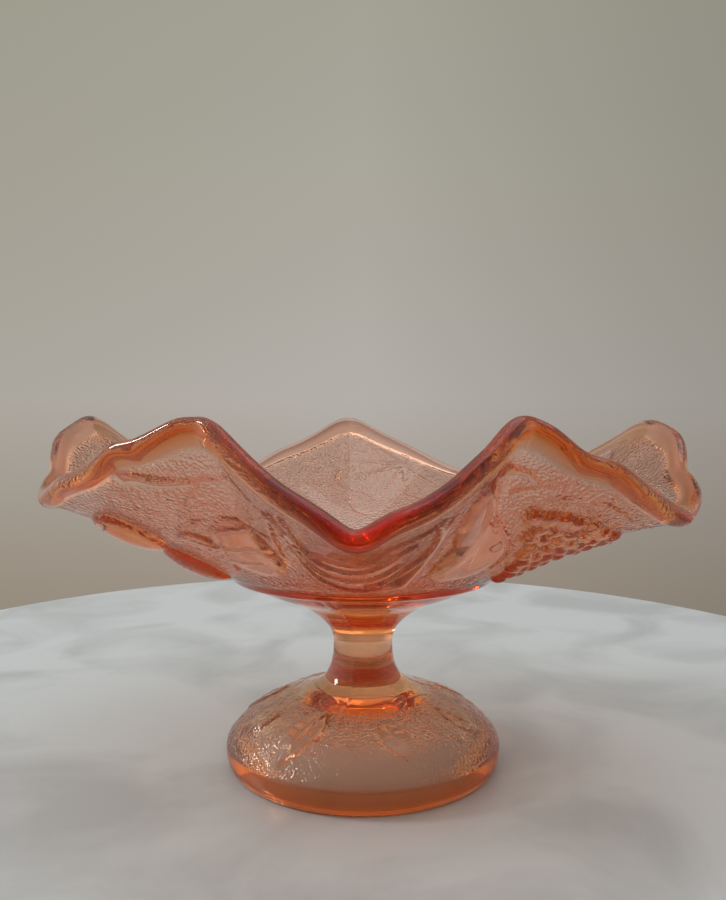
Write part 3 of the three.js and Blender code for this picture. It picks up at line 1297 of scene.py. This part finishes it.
@dataclass
class Studio:
    """The round table top, the plain soft surroundings, the lamps and the camera."""

    table_r: float = 0.295
    table_centre: tuple[float, float] = (-0.01, 0.064)
    table_gap: float = 0.0002
    table_thick: float = 0.02
    table_edge: float = 0.003
    table_sides: int = 160
    eye: tuple[float, float, float] = (0.0, -0.308, 0.128)
    eye_tilt: float = 2.11
    lens: float = 21.71
    film: float = 24.0
    clear_bounces: int = 24
    glossy_bounces: int = 8
    lit: tuple[float, float, float] = (0, 0, 0.07)  # the place that the lamps point at
    lamps: tuple[SoftBox, ...] = (
        SoftBox("window", (-1.5, 0.17, 1.0), (0.3, 0.5), 8.0),
        SoftBox("ceiling", (0.6, 0.1, 1.4), (1.2, 1.2), 3.5),
    )

    def table(self) -> bpy.types.Object:
        """Makes the round table top.

        Returns:
            The table.
        """
        cx, cy = self.table_centre
        edge, top = self.table_edge, -self.table_gap
        low = top - self.table_thick
        outline = [
            (self.table_r - edge, top),
            (self.table_r - 0.3 * edge, top - 0.3 * edge),
            (self.table_r, top - edge),
            (self.table_r, low),
        ]
        points = [(cx, cy, top)]
        for r, z in outline:
            for k in range(self.table_sides):
                a = 2 * math.pi * k / self.table_sides
                points.append((cx + r * math.cos(a), cy + r * math.sin(a), z))
        points.append((cx, cy, low))
        mesh = bpy.data.meshes.new("table_top")
        mesh.from_pydata(points, [], ring_faces([self.table_sides] * len(outline)))
        mesh.materials.append(PaleStone().material())
        return add_object("table_top", mesh)

    def surroundings(self) -> None:
        """Makes a plain pale wall all round, brighter to the left and behind the dish."""
        world = bpy.data.worlds.new("plain_wall")
        bpy.context.scene.world = world
        world.use_nodes = True
        world.cycles.sampling_method = "NONE"
        bench = NodeBench(world.node_tree)
        way = bench.add("ShaderNodeTexCoord").outputs["Generated"]
        aim = bench.add("ShaderNodeSeparateXYZ", {0: way}).outputs
        by_height = bench.ramp(bench.span(aim["Z"], -0.3, 1), WALL_BY_HEIGHT)
        by_side = bench.ramp(bench.span(aim["X"], -1, 1), WALL_BY_SIDE)
        by_depth = bench.ramp(bench.span(aim["Y"], -1, 1), WALL_BY_DEPTH)
        wall = bench.mix(1.0, by_height, by_side, "MULTIPLY")
        wall = bench.mix(1.0, wall, by_depth, "MULTIPLY")
        glow = bench.add("ShaderNodeBackground", {"Color": wall}).outputs["Background"]
        bench.add("ShaderNodeOutputWorld", {"Surface": glow})

    def camera(self) -> None:
        """Sets up the camera in front of the dish, a little above the table."""
        lens = bpy.data.cameras.new("eye")
        lens.sensor_fit = "VERTICAL"
        lens.sensor_height = self.film
        lens.lens = self.lens
        lens.clip_start = 0.01
        holder = add_object("eye", lens)
        holder.location = self.eye
        holder.rotation_euler = ((90 - self.eye_tilt) * DEG, 0, 0)
        bpy.context.scene.camera = holder

    def build(self) -> None:
        """Sets the whole studio up."""
        self.table()
        self.surroundings()
        for lamp in self.lamps:
            lamp.build(Vector(self.lit))
        self.camera()
        scene = bpy.context.scene
        scene.view_settings.view_transform = "Standard"
        scene.cycles.max_bounces = self.clear_bounces
        scene.cycles.transmission_bounces = self.clear_bounces
        scene.cycles.glossy_bounces = self.glossy_bounces


def main() -> None:
    """Builds the dish and its studio."""
    logging.basicConfig(level=logging.INFO)
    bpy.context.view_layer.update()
    dish = PressedDish().build("pressed_dish")
    dish.data.materials.append(PinkGlass().material())
    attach(dish, "root")
    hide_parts("bowl", "stem", "foot")
    log.info("%s: %d faces", dish.name, len(dish.data.polygons))
    Studio().build()


if __name__ == "__main__":
    main()
